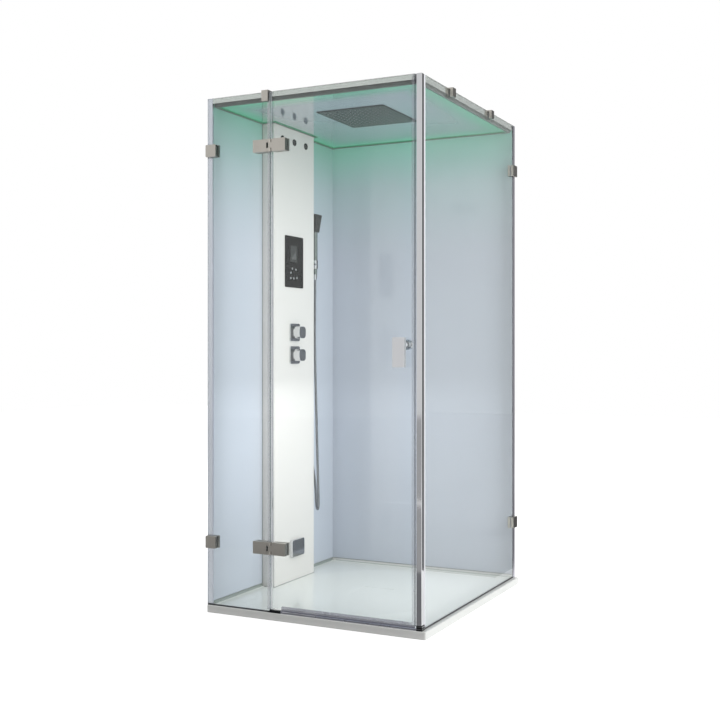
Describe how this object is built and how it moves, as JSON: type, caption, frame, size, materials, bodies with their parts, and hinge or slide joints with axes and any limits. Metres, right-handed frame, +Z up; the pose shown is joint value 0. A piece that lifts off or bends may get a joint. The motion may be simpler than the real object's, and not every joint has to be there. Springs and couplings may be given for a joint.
{
  "type": "steam shower cabin",
  "caption": "Square steam shower cabin with glass front and side, hinged glass door, white column with controls, jets and handset, lit ceiling with rain head, low tray.",
  "frame": {"origin": "centre of the waste outlet on the floor plane, which is also the centre of the tray", "axes": "+Z up, the door faces -Y, the column stands on the -X wall and the fixed side glass is at +X"},
  "size_m": [1, 1.029, 2.121],
  "materials": {
    "tray_white": "glossy moulded stone resin",
    "waste_grey": "moulded",
    "wall_glass": "back-painted, gradient",
    "board": "sheet board",
    "aluminium_profile": "polished",
    "polished_chrome": "polished",
    "brushed_nickel": "brushed",
    "dark_metal": "dark",
    "stainless": "satin",
    "clear_glass": "clear toughened",
    "clear_seal": "clear soft",
    "dark_seal": "matte",
    "grey_seal": "matte",
    "panel_white": "glossy",
    "ceiling_gloss": "high gloss",
    "trim_dark": "dark satin",
    "led_green": "lit strip",
    "black_glass": "polished",
    "display_glass": "satin",
    "circuit": "matte",
    "black_plastic": "glossy",
    "brass_fitting": "machined",
    "rain_plate": "dark, drilled",
    "hose_metal": "spiral wound",
    "white_plastic": "matte"
  },
  "bodies": {
    "cabin": {"back_wall_facing": "wall_glass", "cable_gland": "black_plastic", "ceiling_panel": "ceiling_gloss", "ceiling_trim": "trim_dark", "clear_glass_seals": "clear_seal", "column_shell": "panel_white", "control_board": "circuit", "control_box": "white_plastic", "control_panel": "black_glass", "corner_post": "polished_chrome", "corner_post_foot": "dark_metal", "fixed_glass_bed_seals": "dark_seal", "fixed_glass_pads": "clear_seal", "fixed_glass_screws": "stainless", "front_fixed_glass": "clear_glass", "handset_holder": "polished_chrome", "header_clamps": "brushed_nickel", "header_rails": "polished_chrome", "heating_element": "stainless", "hinge_leaves_fixed": "brushed_nickel", "hinge_pins": "stainless", "hose_outlet_elbow": "polished_chrome", "inlet_unions": "brass_fitting", "jet_bezels": "dark_metal", "led_strip": "led_green", "left_wall_facing": "wall_glass", "panel_display": "display_glass", "post_magnet_strip": "grey_seal", "rain_head_body": "stainless", "rain_head_plate": "rain_plate", "roof_panel": "board", "shower_hose": "hose_metal", "shower_tray": "tray_white", "side_fixed_glass": "clear_glass", "steam_outlet_cover": "polished_chrome", "steam_pipe": "stainless", "steam_tank": "stainless", "threshold_strips": "aluminium_profile", "valve_bodies": "brass_fitting", "valve_plates": "polished_chrome", "wall_backings": "board", "wall_brackets": "brushed_nickel", "wall_edge_profiles": "aluminium_profile", "waste_body": "waste_grey", "water_pipes": "brass_fitting"},
    "door": {"door_glass": "clear_glass", "door_seals": "grey_seal", "door_pads": "clear_seal", "door_bolts": "stainless", "door_handle_plate": "polished_chrome", "door_inner_knob": "polished_chrome", "hinge_leaves_door": "brushed_nickel"},
    "mixer_control": {"mixer_knob": "polished_chrome"},
    "diverter_control": {"diverter_knob": "polished_chrome"},
    "jet_1": {"jet_nozzle_1": "black_plastic"},
    "jet_2": {"jet_nozzle_2": "black_plastic"},
    "jet_3": {"jet_nozzle_3": "black_plastic"},
    "handset": {"handset_body": "black_plastic", "handset_face": "black_plastic"},
    "waste_cover": {"drain_cover": "tray_white"}
  },
  "joints": [
    {"name": "door_hinge", "type": "hinge", "parent": "cabin", "child": "door", "pos_m": [-0.188, -0.502, 1.09], "axis": [0, 0, -1], "range_deg": [0, 95]},
    {"name": "mixer_turn", "type": "hinge", "parent": "cabin", "child": "mixer_control", "pos_m": [-0.4, 0.029, 1.16], "axis": [1, 0, 0], "range_deg": [-110, 110]},
    {"name": "diverter_turn", "type": "hinge", "parent": "cabin", "child": "diverter_control", "pos_m": [-0.4, 0.029, 1.057], "axis": [1, 0, 0], "range_deg": [-90, 90]},
    {"name": "jet_1_tilt", "type": "hinge", "parent": "cabin", "child": "jet_1", "pos_m": [-0.419, -0.066, 2.026], "axis": [0, 1, 0], "range_deg": [-12, 12]},
    {"name": "jet_2_tilt", "type": "hinge", "parent": "cabin", "child": "jet_2", "pos_m": [-0.419, 0.03, 2.026], "axis": [0, 1, 0], "range_deg": [-12, 12]},
    {"name": "jet_3_tilt", "type": "hinge", "parent": "cabin", "child": "jet_3", "pos_m": [-0.419, 0.126, 2.026], "axis": [0, 1, 0], "range_deg": [-12, 12]},
    {"name": "handset_lift", "type": "slide", "parent": "cabin", "child": "handset", "axis": [0, 0, 1], "range_m": [0, 0.06]},
    {"name": "waste_cover_lift", "type": "slide", "parent": "cabin", "child": "waste_cover", "axis": [0, 0, 1], "range_m": [0, 0.04]}
  ]
}
